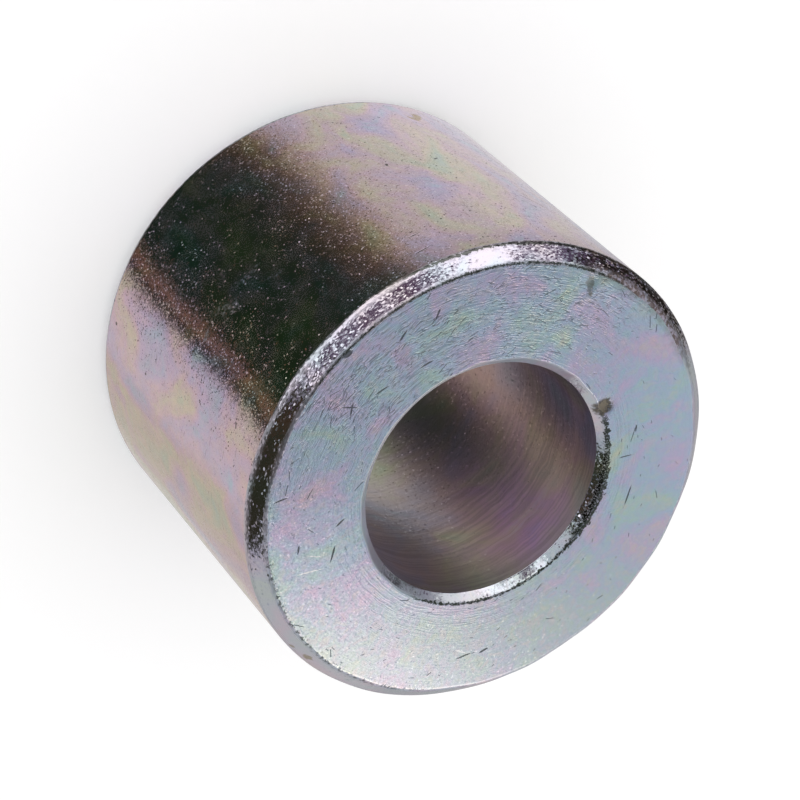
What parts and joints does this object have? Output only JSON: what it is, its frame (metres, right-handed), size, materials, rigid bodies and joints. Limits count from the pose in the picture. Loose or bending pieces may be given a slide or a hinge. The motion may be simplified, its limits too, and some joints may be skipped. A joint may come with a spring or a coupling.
{
  "type": "spacer sleeve",
  "caption": "Short thick-walled round steel sleeve with a plain through bore and chamfered rims, used as a spacer on a bolt or pin.",
  "frame": {"origin": "middle of the lower end face, where the sleeve stands", "axes": "+Z along the bore's axis, from the lower end face to the upper one; X and Y are any two directions across the round section"},
  "size_m": [0.032, 0.032, 0.025],
  "materials": {
    "plated_steel": "turned and zinc plated, with a thin clear passivation that shows pale blue, pink and yellow tints"
  },
  "bodies": {
    "root": {"spacer_sleeve": "plated_steel"}
  },
  "joints": []
}
